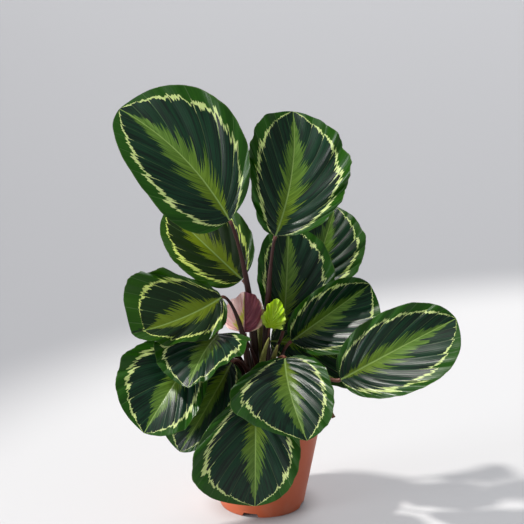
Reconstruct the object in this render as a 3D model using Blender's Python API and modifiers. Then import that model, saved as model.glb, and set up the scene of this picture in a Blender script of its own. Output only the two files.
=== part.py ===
"""Potted calathea: a plastic nursery pot, its soil, and each leaf as a stalk and a blade.

Every leaf starts from a root point in the soil. Its stalk bends over to the blade's base, and the blade
is one sheet whose outline, veins, fold and waved edge come from one formula. Lengths are in metres.
"""

from dataclasses import dataclass
from math import cos, pi, radians, sin, sqrt

import bmesh
import bpy
from mathutils import Matrix, Vector, noise

MM = 0.001
GAP = 0.3 * MM

# The nursery pot: a tapered cup with a collar at the rim and a notched foot ring
POT_HEIGHT = 128 * MM
POT_RIM_RADIUS = 70 * MM
POT_FOOT_RADIUS = 44.5 * MM
POT_WALL = 1.8 * MM
COLLAR_HEIGHT = 15 * MM
COLLAR_STEP = 1.6 * MM
FOOT_HEIGHT = 6 * MM
FOOT_RING_WIDTH = 4 * MM
POT_FLOOR = 2 * MM
POT_SIDES = 60
NOTCH_COUNT = 4
NOTCH_FIRST_ANGLE = -16
NOTCH_WIDTH_LOW = 19 * MM
NOTCH_WIDTH_HIGH = 14 * MM
NOTCH_HEIGHT = 4.5 * MM
DRAIN_HOLE_RADIUS = 4.5 * MM
DRAIN_HOLE_PLACE = 27 * MM

# The soil fills the pot to just under the rim and rises towards the clump
SOIL_EDGE_HEIGHT = 119 * MM
SOIL_MOUND = 9 * MM
SOIL_LUMP = 1.6 * MM
SOIL_RINGS = 6
SOIL_SIDES = 30
ROOT_DEPTH = 14 * MM
NECK_HEIGHT = 4 * MM

# The grid of a blade: steps from base to tip, and steps from the midrib to each edge
STEPS_ALONG = 16
STEPS_ACROSS = 4
BLADE_THICKNESS = 0.8 * MM
MIDRIB_THICKNESS = 2.4 * MM
OUTLINE_ROUNDNESS = 0.8
VEIN_SWEEP = 0.14
TIP_POINT = 0.035
LEAST_ROLL = 0.001

STALK_POINTS = 12
STALK_SIDES_RESOLUTION = 2
STALK_CROWDING = 1.5


@dataclass
class Leaf:
    """One leaf, in millimetres and degrees. Places are from the middle of the pot's foot, with x to
    the right, y away and z up.

    The stalk rises from root, a rise of its span straight up, and reaches the blade's base along arrival,
    or along the midrib where there is none. The blade runs from base to tip, and its upper face looks
    along faces. Left and right are its half widths as seen on the upper face with the tip up, each
    folded up by its angle and rolled up further towards its edge, with an egg shape that is wider at
    the base where positive. Arch lifts and bow shifts the midrib, cup lifts both edges, and wave is
    the height of the edge's ripples.
    """

    name: str
    root: tuple
    base: tuple
    tip: tuple
    faces: tuple
    left: float
    right: float
    arch: float = 6
    bow: float = 0
    fold_left: float = 12
    fold_right: float = 12
    roll_left: float = 0
    roll_right: float = 0
    egg_left: float = 0
    egg_right: float = 0
    cup: float = 0
    wave: float = 2.2
    waves: float = 3.5
    phase: float = 0
    rise: float = 0.55
    reach: float = 12
    arrival: tuple = None
    stalk_foot: float = 3.0
    stalk_top: float = 1.8
    color: str = "green"


@dataclass
class Shoot:
    """A sheath or a dry stalk: a tapering rod from its root in the soil to a free tip."""

    name: str
    root: tuple
    tip: tuple
    foot_radius: float
    middle_radius: float
    tip_radius: float
    rise: float
    arrival: tuple
    color: str


LEAVES = [
    Leaf(
        "a", root=(-7, 5), base=(-33, 0, 306), tip=(-146, 40, 414), faces=(-0.1, -1, 0.15),
        left=57, right=67, bow=12, egg_left=0.2, fold_left=33, fold_right=4, arch=4,
        stalk_foot=3.4, stalk_top=2.1,
    ),
    Leaf(
        "b", root=(4, 4), base=(14, 5, 289), tip=(32, 50, 410), faces=(0.1, -1, 0.3),
        left=46, right=65, bow=7, egg_left=-0.15, roll_right=32, wave=4.5, waves=5,
        stalk_foot=3.3, stalk_top=2.0,
    ),
    Leaf(
        "c", root=(-9, 14), base=(-21, 35, 235), tip=(-101, 70, 304), faces=(-0.1, -1, 0.3),
        left=36, right=50, phase=0.3,
    ),
    Leaf(
        "d", root=(9, 10), base=(22, 12, 186), tip=(28, 48, 290), faces=(0.2, -1, 0.2),
        left=33, right=51, egg_left=-0.2, fold_right=8, roll_right=20, arch=4,
    ),
    Leaf(
        "e", root=(9, 37), base=(49, 56, 219), tip=(79, 92, 302), faces=(0.2, -1, 0.3),
        left=44, right=48, roll_right=28, phase=0.6,
    ),
    Leaf(
        "f", root=(18, 0), base=(31, 4, 177), tip=(112, 15, 235), faces=(0.2, -1, 0.5),
        left=38, right=52, fold_left=45, fold_right=14, roll_right=24, egg_right=-0.25, arch=3,
    ),
    Leaf(
        "g", root=(15, -12), base=(80, -38, 149), tip=(196, -30, 211), faces=(0.2, -1, 0.6),
        left=40, right=53, fold_right=14, roll_right=24, egg_right=-0.15, stalk_top=2.0,
    ),
    Leaf(
        "h", root=(-13, -14), base=(-41, -22, 231), tip=(-128, -69, 207), faces=(-0.1, -1, 0.6),
        left=31, right=55, bow=-6, egg_left=0.3, egg_right=-0.5, wave=4.5, waves=4, arch=4,
    ),
    Leaf(
        "i", root=(-16, -2), base=(-44, -33, 196), tip=(-72, -95, 160), faces=(-0.45, -1, 0.8),
        left=45, right=49, egg_left=0.45, wave=3, arrival=(0.85, -0.35, -0.25), reach=36,
    ),
    Leaf(
        "j", root=(-20, -9), base=(-65, -36, 177), tip=(-116, -90, 111), faces=(-0.3, -1, 0.5),
        left=39, right=57, roll_right=16, egg_left=-0.3, phase=0.2,
    ),
    Leaf(
        "k", root=(6, -14), base=(23, -40, 172), tip=(43, -128, 118), faces=(0.1, -1, 0.9),
        left=42, right=64, bow=5, roll_right=20, egg_right=-0.4, wave=1.5,
    ),
    Leaf(
        "l", root=(-2, -20), base=(-6, -80, 146), tip=(-7, -104, 40), faces=(0, -1, 0.3),
        left=45, right=62, egg_right=-0.2, wave=1.2,
    ),
    Leaf(
        "m", root=(-3, 27), base=(9, 29, 169), tip=(136, 34, 155), faces=(0.1, -1, 0.5),
        left=42, right=43, egg_left=0.3, egg_right=-0.35, arch=4, reach=6,
    ),
    Leaf(
        "n", root=(-10, -20), base=(-31, -32, 165), tip=(-82, -74, 85), faces=(-0.5, -1, 0.2),
        left=30, right=44, bow=-6, arch=12,
    ),
    Leaf(
        "young_mauve", root=(-3, -5), base=(-17, -8, 190), tip=(-18, -12, 234), faces=(0, 1, 0.1),
        left=21, right=21, fold_left=0, fold_right=-5, roll_left=40, roll_right=30,
        egg_left=0.2, egg_right=0.3, arch=3, wave=3.5, waves=3, stalk_foot=2.2, stalk_top=1.3,
        color="mauve",
    ),
    Leaf(
        "young_lime", root=(3, -5), base=(8, -3, 193), tip=(16, -5, 225), faces=(0, -1, 0.2),
        left=11, right=13, fold_left=20, fold_right=10, egg_left=0.2, egg_right=0.35, arch=2, wave=3,
        waves=4, stalk_foot=2.2, stalk_top=1.2, color="lime",
    ),
]

SHOOTS = [
    Shoot("sheath_1", (-1, -13), (7, -22, 188), 3.0, 2.6, 0.6, 0.5, (0.3, -0.3, 1), "olive"),
    Shoot("sheath_2", (11, -6), (16, -24, 181), 3.0, 2.8, 0.6, 0.5, (0.3, -0.5, 1), "olive"),
    Shoot("sheath_3", (-2, 13), (-2, 15, 195), 3.3, 3.3, 2.0, 0.5, (-0.1, 0, 1), "olive"),
    Shoot("dry_stalk", (14, -20), (72, -60, 116), 1.6, 1.2, 2.0, 0.7, (0.4, -0.3, -1), "brown"),
]


def clear_scene():
    for old in list(bpy.data.objects):
        bpy.data.objects.remove(old, do_unlink=True)


def new_collection(name):
    collection = bpy.data.collections.new(name)
    bpy.context.scene.collection.children.link(collection)
    return collection


def new_material(name, color, roughness):
    material = bpy.data.materials.new(name)
    material.use_nodes = True
    shader = material.node_tree.nodes["Principled BSDF"]
    shader.inputs["Base Color"].default_value = (*color, 1)
    shader.inputs["Roughness"].default_value = roughness
    shader.inputs["Metallic"].default_value = 0
    return material


def new_object(name, data, collection, material):
    obj = bpy.data.objects.new(name, data)
    collection.objects.link(obj)
    if material is not None:
        obj.data.materials.append(material)
    return obj


def mesh_from_bmesh(name, shape):
    mesh = bpy.data.meshes.new(name)
    shape.to_mesh(mesh)
    shape.free()
    return mesh


def turned_object(name, profile, sides, collection, material):
    """A solid of revolution about Z from (radius, height) points that run down its outer side."""
    mesh = bpy.data.meshes.new(name)
    points = [(radius, 0, height) for radius, height in profile]
    edges = [(i, i + 1) for i in range(len(points) - 1)]
    mesh.from_pydata(points, edges, [])
    obj = new_object(name, mesh, collection, material)
    screw = obj.modifiers.new("turn", "SCREW")
    screw.steps = sides
    screw.render_steps = sides
    screw.use_merge_vertices = True
    screw.merge_threshold = 0.00001
    screw.use_smooth_shade = True
    return obj


def cut(obj, cutter):
    """Take the cutter's shape out of the object, and keep the cutter as a wire guide."""
    boolean = obj.modifiers.new(cutter.name, "BOOLEAN")
    boolean.operation = "DIFFERENCE"
    boolean.solver = "EXACT"
    boolean.object = cutter
    cutter.hide_render = True
    cutter.display_type = "WIRE"


def pot_radius(height):
    """The outer radius of the tapered wall at a height."""
    share = height / POT_HEIGHT
    return POT_FOOT_RADIUS + (POT_RIM_RADIUS - COLLAR_STEP - POT_FOOT_RADIUS) * share


def make_pot(parts, cutters, material):
    rim = POT_HEIGHT
    collar = POT_HEIGHT - COLLAR_HEIGHT
    inner_foot = POT_FOOT_RADIUS - FOOT_RING_WIDTH
    profile = [
        (0, FOOT_HEIGHT + POT_FLOOR),
        (pot_radius(FOOT_HEIGHT + POT_FLOOR) - POT_WALL, FOOT_HEIGHT + POT_FLOOR),
        (pot_radius(collar) - POT_WALL, collar),
        (pot_radius(rim) - POT_WALL, rim - 0.8 * MM),
        (pot_radius(rim) - POT_WALL + 0.7 * MM, rim),
        (POT_RIM_RADIUS - 0.8 * MM, rim),
        (POT_RIM_RADIUS, rim - 0.9 * MM),
        (pot_radius(collar) + COLLAR_STEP, collar),
        (pot_radius(collar), collar - 0.8 * MM),
        (pot_radius(FOOT_HEIGHT), FOOT_HEIGHT),
        (POT_FOOT_RADIUS, 0.8 * MM),
        (POT_FOOT_RADIUS - 0.6 * MM, 0),
        (inner_foot, 0),
        (inner_foot, FOOT_HEIGHT),
        (0, FOOT_HEIGHT),
    ]
    pot = turned_object("pot", profile, POT_SIDES, parts, material)
    for i in range(NOTCH_COUNT):
        turn = Matrix.Rotation(radians(NOTCH_FIRST_ANGLE + i * 360 / NOTCH_COUNT), 4, "Z")
        cut(pot, notch_cutter(f"notch_{i + 1}", turn, cutters))
        cut(pot, drain_cutter(f"drain_{i + 1}", turn, cutters))
    return pot


def notch_cutter(name, turn, cutters):
    """A trapezoid block that opens the foot ring from below, at the front before it is turned."""
    shape = bmesh.new()
    bmesh.ops.create_cube(shape, size=1)
    depth = 3 * FOOT_RING_WIDTH
    for vert in shape.verts:
        low = vert.co.z < 0
        width = NOTCH_WIDTH_LOW if low else NOTCH_WIDTH_HIGH
        vert.co.x *= width
        vert.co.y = vert.co.y * depth - POT_FOOT_RADIUS
        vert.co.z = -1 * MM if low else NOTCH_HEIGHT
    obj = new_object(name, mesh_from_bmesh(name, shape), cutters, None)
    obj.matrix_world = turn
    return obj


def drain_cutter(name, turn, cutters):
    """A round peg that opens the pot's floor just inside a notch."""
    shape = bmesh.new()
    bmesh.ops.create_cone(
        shape,
        cap_ends=True,
        segments=16,
        radius1=DRAIN_HOLE_RADIUS,
        radius2=DRAIN_HOLE_RADIUS,
        depth=4 * POT_FLOOR,
    )
    lift = Matrix.Translation((0, -DRAIN_HOLE_PLACE, FOOT_HEIGHT + POT_FLOOR / 2))
    bmesh.ops.transform(shape, matrix=lift, verts=shape.verts)
    obj = new_object(name, mesh_from_bmesh(name, shape), cutters, None)
    obj.matrix_world = turn
    return obj


def soil_height(x, y):
    """The height of the soil's lumpy top at a place."""
    share = min(1, sqrt(x * x + y * y) / (pot_radius(SOIL_EDGE_HEIGHT) - POT_WALL))
    lump = noise.noise(Vector((x, y, 0)) / (11 * MM)) * SOIL_LUMP * (1 - share**4)
    return SOIL_EDGE_HEIGHT + SOIL_MOUND * (1 - share**2) + lump


def make_soil(parts, material):
    """A plug that fills the pot, with a grid of rings over its lumpy top."""
    low = FOOT_HEIGHT + POT_FLOOR + GAP
    low_radius = pot_radius(low) - POT_WALL - GAP
    edge_radius = pot_radius(SOIL_EDGE_HEIGHT) - POT_WALL - GAP
    shape = bmesh.new()
    bmesh.ops.create_cone(
        shape,
        cap_ends=True,
        cap_tris=True,
        segments=SOIL_SIDES,
        radius1=low_radius,
        radius2=edge_radius,
        depth=SOIL_EDGE_HEIGHT - low,
    )
    middle = (SOIL_EDGE_HEIGHT + low) / 2
    bmesh.ops.translate(shape, verts=shape.verts, vec=(0, 0, middle))
    spokes = [e for e in shape.edges if is_top_spoke(e, edge_radius)]
    bmesh.ops.subdivide_edges(shape, edges=spokes, cuts=SOIL_RINGS, use_grid_fill=True)
    for vert in shape.verts:
        on_top = vert.co.z > SOIL_EDGE_HEIGHT - 0.01 * MM
        inside = vert.co.xy.length < edge_radius - 0.01 * MM
        if on_top and inside:
            vert.co.z = soil_height(vert.co.x, vert.co.y)
    bmesh.ops.triangulate(shape, faces=shape.faces)
    return new_object("soil", mesh_from_bmesh("soil", shape), parts, material)


def is_top_spoke(edge, edge_radius):
    """True for an edge of the soil's top that runs from the middle to the rim."""
    if min(v.co.z for v in edge.verts) < SOIL_EDGE_HEIGHT - 0.01 * MM:
        return False
    return min(v.co.xy.length for v in edge.verts) < edge_radius / 2


def margin_along(u):
    """How far along the blade the edge is, 0 at the base and 1 at the tip, for a vein's share u."""
    return (1 - TIP_POINT) * (1 - cos(pi * u)) / 2 + TIP_POINT * u**10


def margin_width(u, egg=0):
    """The edge's share of the half width at a vein's share u, with more at the base for an egg."""
    return max(0, sin(pi * u)) ** OUTLINE_ROUNDNESS * (1 + egg * cos(pi * u))


def midrib_along(u):
    """Where on the midrib the vein starts that ends at the edge point of u."""
    return margin_along(u) - VEIN_SWEEP * sin(pi * u) ** 2


class Blade:
    """The curved sheet of one leaf. point(u, t) is on the upper face: u from the base to the tip
    along the veins' starts, t from -1 at the left edge to 1 at the right edge."""

    def __init__(self, leaf):
        self.leaf = leaf
        self.base = Vector(leaf.base) * MM
        self.chord = Vector(leaf.tip) * MM - self.base
        self.forward = self.chord.normalized()
        faces = Vector(leaf.faces)
        self.up = (faces - self.forward * faces.dot(self.forward)).normalized()
        self.side = self.forward.cross(self.up)

    def midrib(self, along):
        hump = 4 * along * (1 - along)
        lift = self.up * self.leaf.arch * MM * hump
        shift = self.side * self.leaf.bow * MM * hump
        return self.base + self.chord * along + lift + shift

    def start_direction(self):
        return (self.midrib(0.04) - self.midrib(0)).normalized()

    def point(self, u, t):
        leaf = self.leaf
        across = abs(t)
        start = midrib_along(u)
        along = start + (margin_along(u) - start) * across**1.7
        egg = leaf.egg_right if t > 0 else leaf.egg_left
        width = (leaf.right if t > 0 else leaf.left) * MM * margin_width(u, egg) * across
        fold = radians(leaf.fold_right if t > 0 else leaf.fold_left)
        outward = self.side if t > 0 else -self.side
        phase = leaf.phase + (0.37 if t > 0 else 0)
        ripple = sin(2 * pi * (leaf.waves * u + phase))
        ripple += 0.5 * sin(2 * pi * (1.7 * leaf.waves * u + 2.3 * phase))
        lift = leaf.wave * ripple * across**3 * margin_width(u)
        lift += leaf.cup * across**2 * margin_width(u)
        roll = radians(leaf.roll_right if t > 0 else leaf.roll_left) * across + LEAST_ROLL
        turned = fold + roll
        spread = outward * (sin(turned) - sin(fold)) + self.up * (cos(fold) - cos(turned))
        return self.midrib(along) + spread * width / roll + self.up * lift * MM


def make_blade(leaf, parts, material):
    blade = Blade(leaf)
    shape = bmesh.new()
    rows = []
    for i in range(STEPS_ALONG + 1):
        u = i / STEPS_ALONG
        steps = range(-STEPS_ACROSS, STEPS_ACROSS + 1)
        rows.append([shape.verts.new(blade.point(u, j / STEPS_ACROSS)) for j in steps])
    for low, high in zip(rows, rows[1:]):
        for j in range(2 * STEPS_ACROSS):
            shape.faces.new((low[j], low[j + 1], high[j + 1], high[j]))
    midrib = [row[STEPS_ACROSS].co.copy() for row in rows]
    bmesh.ops.remove_doubles(shape, verts=shape.verts, dist=0.01 * MM)
    bmesh.ops.triangulate(shape, faces=shape.faces)
    name = f"blade_{leaf.name}"
    obj = new_object(name, mesh_from_bmesh(name, shape), parts, material)
    thicken_midrib(obj, midrib)
    obj.data.shade_smooth()
    return obj


def thicken_midrib(obj, midrib):
    """Give the sheet its thickness downwards, thin at the edges and thick along the midrib."""
    group = obj.vertex_groups.new(name="midrib")
    steps = len(midrib) - 1
    for vert in obj.data.vertices:
        weight = 0
        for i, place in enumerate(midrib):
            if (vert.co - place).length < 0.05 * MM:
                weight = (1 - i / steps) ** 0.7
        group.add([vert.index], weight, "REPLACE")
    solidify = obj.modifiers.new("thickness", "SOLIDIFY")
    solidify.thickness = MIDRIB_THICKNESS
    solidify.offset = -1
    solidify.vertex_group = group.name
    solidify.thickness_vertex_group = BLADE_THICKNESS / MIDRIB_THICKNESS


def rooted_route(root, rise, end, arrival, reach):
    """A middle line that stands straight in the soil, bends over, and ends along its arrival direction."""
    foot = Vector((root[0] * MM, root[1] * MM, 0))
    surface = soil_height(foot.x, foot.y)
    foot.z = surface - ROOT_DEPTH
    neck = Vector((foot.x, foot.y, surface + NECK_HEIGHT))
    span = (end - neck).length
    corners = [neck, neck + Vector((0, 0, span * rise)), end - arrival * reach, end]
    steps = STALK_POINTS - 2
    bend = [bezier_point(corners, 1 - (1 - i / steps) ** STALK_CROWDING) for i in range(steps + 1)]
    return [foot] + bend


def stalk_route(leaf):
    blade = Blade(leaf)
    if leaf.arrival is None:
        arrival = blade.start_direction()
        end = blade.base - blade.up * MIDRIB_THICKNESS / 2 - arrival * 2 * GAP
    else:
        arrival = Vector(leaf.arrival).normalized()
        end = blade.base + blade.up * (leaf.stalk_top * MM + 2 * GAP)
    return rooted_route(leaf.root, leaf.rise, end, arrival, leaf.reach * MM)


def shoot_route(shoot):
    tip = Vector(shoot.tip) * MM
    return rooted_route(shoot.root, shoot.rise, tip, Vector(shoot.arrival).normalized(), 20 * MM)


def bezier_point(corners, share):
    first, second, third, last = corners
    rest = 1 - share
    point = first * rest**3
    point += second * 3 * rest**2 * share
    point += third * 3 * rest * share**2
    point += last * share**3
    return point


def make_tube(name, route, radii, collection, material):
    curve = bpy.data.curves.new(name, "CURVE")
    curve.dimensions = "3D"
    curve.bevel_depth = 1 * MM
    curve.bevel_resolution = STALK_SIDES_RESOLUTION
    curve.use_fill_caps = True
    spline = curve.splines.new("POLY")
    spline.points.add(len(route) - 1)
    for point, place, radius in zip(spline.points, route, radii):
        point.co = (*place, 1)
        point.radius = radius
    spline.use_smooth = True
    return new_object(name, curve, collection, material)


def stalk_radii(leaf):
    """Thick where the stalk's foot is wrapped by its sheath, slim above."""
    radii = []
    for i in range(STALK_POINTS):
        share = i / (STALK_POINTS - 1)
        swell = max(0, 1 - share / 0.55) ** 0.8
        radii.append(leaf.stalk_top + (leaf.stalk_foot - leaf.stalk_top) * swell)
    return radii


def shoot_radii(shoot):
    radii = []
    for i in range(STALK_POINTS):
        share = i / (STALK_POINTS - 1)
        if share < 0.5:
            radii.append(shoot.foot_radius + (shoot.middle_radius - shoot.foot_radius) * share * 2)
        else:
            radii.append(shoot.middle_radius + (shoot.tip_radius - shoot.middle_radius) * (share * 2 - 1))
    return radii


def hole_cutter(name, route, radius, cutters):
    """A plain round peg along the foot of a stalk, a gap wider than it, that opens the soil."""
    foot = route[0]
    shape = bmesh.new()
    height = ROOT_DEPTH + 6 * MM
    bmesh.ops.create_cone(
        shape,
        cap_ends=True,
        segments=12,
        radius1=radius + 2 * GAP,
        radius2=radius + 4 * GAP,
        depth=height,
    )
    lift = Matrix.Translation(foot + Vector((0, 0, height / 2 - GAP)))
    bmesh.ops.transform(shape, matrix=lift, verts=shape.verts)
    return new_object(name, mesh_from_bmesh(name, shape), cutters, None)


def centre_on_box(parts, cutters):
    """Move everything so that the whole plant's box is centred over the origin."""
    graph = bpy.context.evaluated_depsgraph_get()
    places = []
    for obj in parts.objects:
        solid = obj.evaluated_get(graph)
        places += [solid.matrix_world @ vert.co for vert in solid.to_mesh().vertices]
        solid.to_mesh_clear()
    middle_x = (min(p.x for p in places) + max(p.x for p in places)) / 2
    middle_y = (min(p.y for p in places) + max(p.y for p in places)) / 2
    stand = bpy.data.objects.new("plant_origin", None)
    for obj in list(parts.objects) + list(cutters.objects):
        obj.parent = stand
    parts.objects.link(stand)
    stand.location = (-middle_x, -middle_y, 0)


def build():
    clear_scene()
    parts = new_collection("potted_calathea")
    cutters = new_collection("cutters")
    terracotta = new_material("pot_plastic", (0.42, 0.115, 0.055), 0.55)
    earth = new_material("soil", (0.055, 0.03, 0.02), 0.95)
    maroon = new_material("stalk_maroon", (0.12, 0.03, 0.03), 0.45)
    colors = {
        "green": new_material("leaf_green", (0.02, 0.075, 0.03), 0.4),
        "mauve": new_material("leaf_mauve", (0.3, 0.1, 0.14), 0.5),
        "lime": new_material("leaf_lime", (0.25, 0.5, 0.02), 0.45),
        "olive": new_material("sheath_olive", (0.16, 0.17, 0.04), 0.5),
        "brown": new_material("dry_brown", (0.16, 0.08, 0.035), 0.85),
    }
    make_pot(parts, cutters, terracotta)
    soil = make_soil(parts, earth)
    for leaf in LEAVES:
        make_blade(leaf, parts, colors[leaf.color])
        route = stalk_route(leaf)
        make_tube(f"petiole_{leaf.name}", route, stalk_radii(leaf), parts, maroon)
        cut(soil, hole_cutter(f"hole_{leaf.name}", route, leaf.stalk_foot * MM, cutters))
    for shoot in SHOOTS:
        route = shoot_route(shoot)
        make_tube(shoot.name, route, shoot_radii(shoot), parts, colors[shoot.color])
        cut(soil, hole_cutter(f"hole_{shoot.name}", route, shoot.foot_radius * MM, cutters))
    centre_on_box(parts, cutters)


build()
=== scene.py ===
"""The potted calathea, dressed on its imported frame.

The file follows the plant as it is put together: the studio, the pot, its soil, the grown leaves, the
two young leaves and the sheaths between them. Lengths are in metres, and leaves are listed in millimetres.
"""

from math import cos, pi, radians, sin, sqrt

import bmesh
import bpy
from mathutils import Matrix, Vector, noise


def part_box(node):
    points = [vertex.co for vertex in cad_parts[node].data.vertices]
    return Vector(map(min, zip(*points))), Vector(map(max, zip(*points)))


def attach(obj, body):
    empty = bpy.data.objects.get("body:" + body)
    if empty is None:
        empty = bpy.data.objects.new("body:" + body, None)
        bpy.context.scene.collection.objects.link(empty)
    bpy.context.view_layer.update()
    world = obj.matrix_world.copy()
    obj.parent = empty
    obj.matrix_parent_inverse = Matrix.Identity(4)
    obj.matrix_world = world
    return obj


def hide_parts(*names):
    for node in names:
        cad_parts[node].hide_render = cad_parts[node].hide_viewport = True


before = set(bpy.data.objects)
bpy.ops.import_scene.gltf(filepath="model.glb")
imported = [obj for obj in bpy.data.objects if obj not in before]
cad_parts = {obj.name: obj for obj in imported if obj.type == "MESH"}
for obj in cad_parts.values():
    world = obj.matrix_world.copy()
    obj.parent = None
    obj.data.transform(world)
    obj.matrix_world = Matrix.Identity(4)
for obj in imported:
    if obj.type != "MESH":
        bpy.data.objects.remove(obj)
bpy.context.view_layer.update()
MM = 0.001

# The studio. The camera stands in front of the pot, a little above the middle of the leaves, and looks
# down at them. The plant stands on a pale floor with a sun high on its left, a soft window to its left in
# front and a bright wall behind it. Far off, the floor turns grey as painted shade of the wall behind. It
# has a painted glow that lightens the cast shadows on it. The glow is left off under the pot as a painted
# contact shadow.
pot_low, pot_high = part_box("pot")
POT_AXIS = Vector(((pot_low.x + pot_high.x) / 2, (pot_low.y + pot_high.y) / 2, 0))
CAMERA_PLACE = POT_AXIS + Vector((0, -1.33, 0.589))
CAMERA_PITCH = radians(13.8)
FRAME_SIDE_PX = 524
FOCAL_PX = 1340
LIGHTS_AIM = Vector((0, 0, 0.25))
SKY_COLOR = (0.92, 0.94, 1, 1)
SKY_STRENGTH = 0.38
FLOOR_RADIUS = 60
PALE_FLOOR = (0.405, 0.405, 0.413)
# Painted shade: the far floor is painted grey to stand for the shaded wall behind.
PAINTED_WALL_SHADE_GREY = (0.128, 0.13, 0.143)
PALE_FLOOR_MIDDLE = POT_AXIS + Vector((0.7, -0.25, 0))
PALE_FLOOR_RADIUS = 1.175
PALE_FLOOR_FADE = 0.29
# Painted light: the floor's glow lightens the cast shadows on it.
PAINTED_FLOOR_GLOW = 0.22
PAINTED_FLOOR_GLOW_COLOR = (1, 1, 1.02, 1)
# Painted contact shadow: the glow is left off under the pot out to this radius.
PAINTED_CONTACT_SHADOW_RADIUS = 52.5 * MM
PAINTED_CONTACT_SHADOW_FADE = 35 * MM


def add_object(name, data):
    """A new object in the scene, at the origin."""
    thing = bpy.data.objects.new(name, data)
    bpy.context.scene.collection.objects.link(thing)
    return thing


def make_camera():
    camera = bpy.data.cameras.new("camera")
    camera.sensor_width = 36
    camera.lens = camera.sensor_width * FOCAL_PX / FRAME_SIDE_PX
    camera.clip_end = 30
    holder = add_object("camera", camera)
    holder.location = CAMERA_PLACE
    holder.rotation_euler = (pi / 2 - CAMERA_PITCH, 0, 0)
    bpy.context.scene.camera = holder


def make_light(name, place, strength, color, spread):
    """Light from a place beside the pot's axis towards the leaves, spread over some degrees."""
    light = bpy.data.lights.new(name, "SUN")
    light.energy = strength
    light.color = color
    light.angle = radians(spread)
    holder = add_object(name, light)
    holder.location = POT_AXIS + Vector(place)
    holder.rotation_euler = (LIGHTS_AIM - Vector(place)).to_track_quat("-Z", "Y").to_euler()


def make_studio():
    world = bpy.data.worlds.new("studio")
    world.use_nodes = True
    sky = world.node_tree.nodes["Background"]
    sky.inputs["Color"].default_value = SKY_COLOR
    sky.inputs["Strength"].default_value = SKY_STRENGTH
    bpy.context.scene.world = world
    bpy.context.scene.view_settings.view_transform = "Standard"
    make_light("sun", (-0.66, -0.04, 1.3), 3.7, (1, 0.97, 0.92), 4)
    make_light("window", (-0.84, -0.42, 0.42), 2.0, (0.97, 0.98, 1), 22)
    make_light("bright_wall", (0.3, 1, 0.6), 1.5, (0.96, 0.98, 1), 60)


class Rule:
    """The output of a node, worked with like a number, so that a tree reads as its formula."""

    def __init__(self, tree, socket):
        self.tree = tree
        self.socket = socket

    def math(self, operation, *others):
        node = self.tree.nodes.new("ShaderNodeMath")
        node.operation = operation
        for socket, value in zip(node.inputs, (self, *others)):
            feed(self.tree, value, socket)
        return Rule(self.tree, node.outputs[0])

    def vector(self, operation, other=None, output="Vector"):
        node = self.tree.nodes.new("ShaderNodeVectorMath")
        node.operation = operation
        feed(self.tree, self, node.inputs[0])
        if other is not None:
            feed(self.tree, other, node.inputs["Scale" if operation == "SCALE" else 1])
        return Rule(self.tree, node.outputs[output])

    def moved(self, direction, amount):
        """This place, moved along a direction by an amount."""
        return self.vector("ADD", direction.vector("SCALE", amount))

    def parts(self):
        node = self.tree.nodes.new("ShaderNodeSeparateXYZ")
        feed(self.tree, self, node.inputs[0])
        return [Rule(self.tree, socket) for socket in node.outputs]

    def above(self, edge, softness):
        """0 below the edge and 1 above it, with a ramp as wide as the softness between."""
        ramp = (self - edge) / softness
        smooth = {"interpolation_type": "SMOOTHSTEP"}
        return add_node(self.tree, "ShaderNodeMapRange", smooth, Value=ramp, From_Min=-0.5, From_Max=0.5)

    def __add__(self, other):
        return self.math("ADD", other)

    def __sub__(self, other):
        return self.math("SUBTRACT", other)

    def __mul__(self, other):
        return self.math("MULTIPLY", other)

    def __truediv__(self, other):
        return self.math("DIVIDE", other)

    def __pow__(self, other):
        return self.math("POWER", other)

    def __rsub__(self, other):
        return self.math("MULTIPLY", -1) + other

    __radd__ = __add__
    __rmul__ = __mul__


def feed(tree, value, socket):
    """Link a rule to a socket, or set the socket where the value is plain."""
    if isinstance(value, Rule):
        tree.links.new(value.socket, socket)
    else:
        socket.default_value = value


def add_node(tree, kind, settings=None, **inputs):
    """The first output of a new node. Its inputs are fed by name, with underscores for spaces."""
    node = tree.nodes.new(kind)
    for label, value in (settings or {}).items():
        setattr(node, label, value)
    for label, value in inputs.items():
        feed(tree, value, node.inputs[label.replace("_", " ")])
    return Rule(tree, node.outputs[0])


def mixed(tree, share, first, second, blend="MIX"):
    """The first colour where the share is 0 and the second where it is 1."""
    node = tree.nodes.new("ShaderNodeMix")
    node.data_type = "RGBA"
    node.blend_type = blend
    feed(tree, share, node.inputs[0])
    for value, socket in ((first, node.inputs[6]), (second, node.inputs[7])):
        feed(tree, value if isinstance(value, Rule) else (*value, 1), socket)
    return Rule(tree, node.outputs[2])


def object_place(tree):
    return Rule(tree, tree.nodes.new("ShaderNodeTexCoord").outputs["Object"])


def new_material(name, roughness):
    material = bpy.data.materials.new(name)
    material.use_nodes = True
    shader = material.node_tree.nodes["Principled BSDF"]
    shader.inputs["Roughness"].default_value = roughness
    return material, material.node_tree, shader


def new_worker(name, shape):
    """An object that holds a mesh while it is worked on."""
    mesh = bpy.data.meshes.new(name)
    shape.to_mesh(mesh)
    shape.free()
    return add_object(name, mesh)


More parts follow.
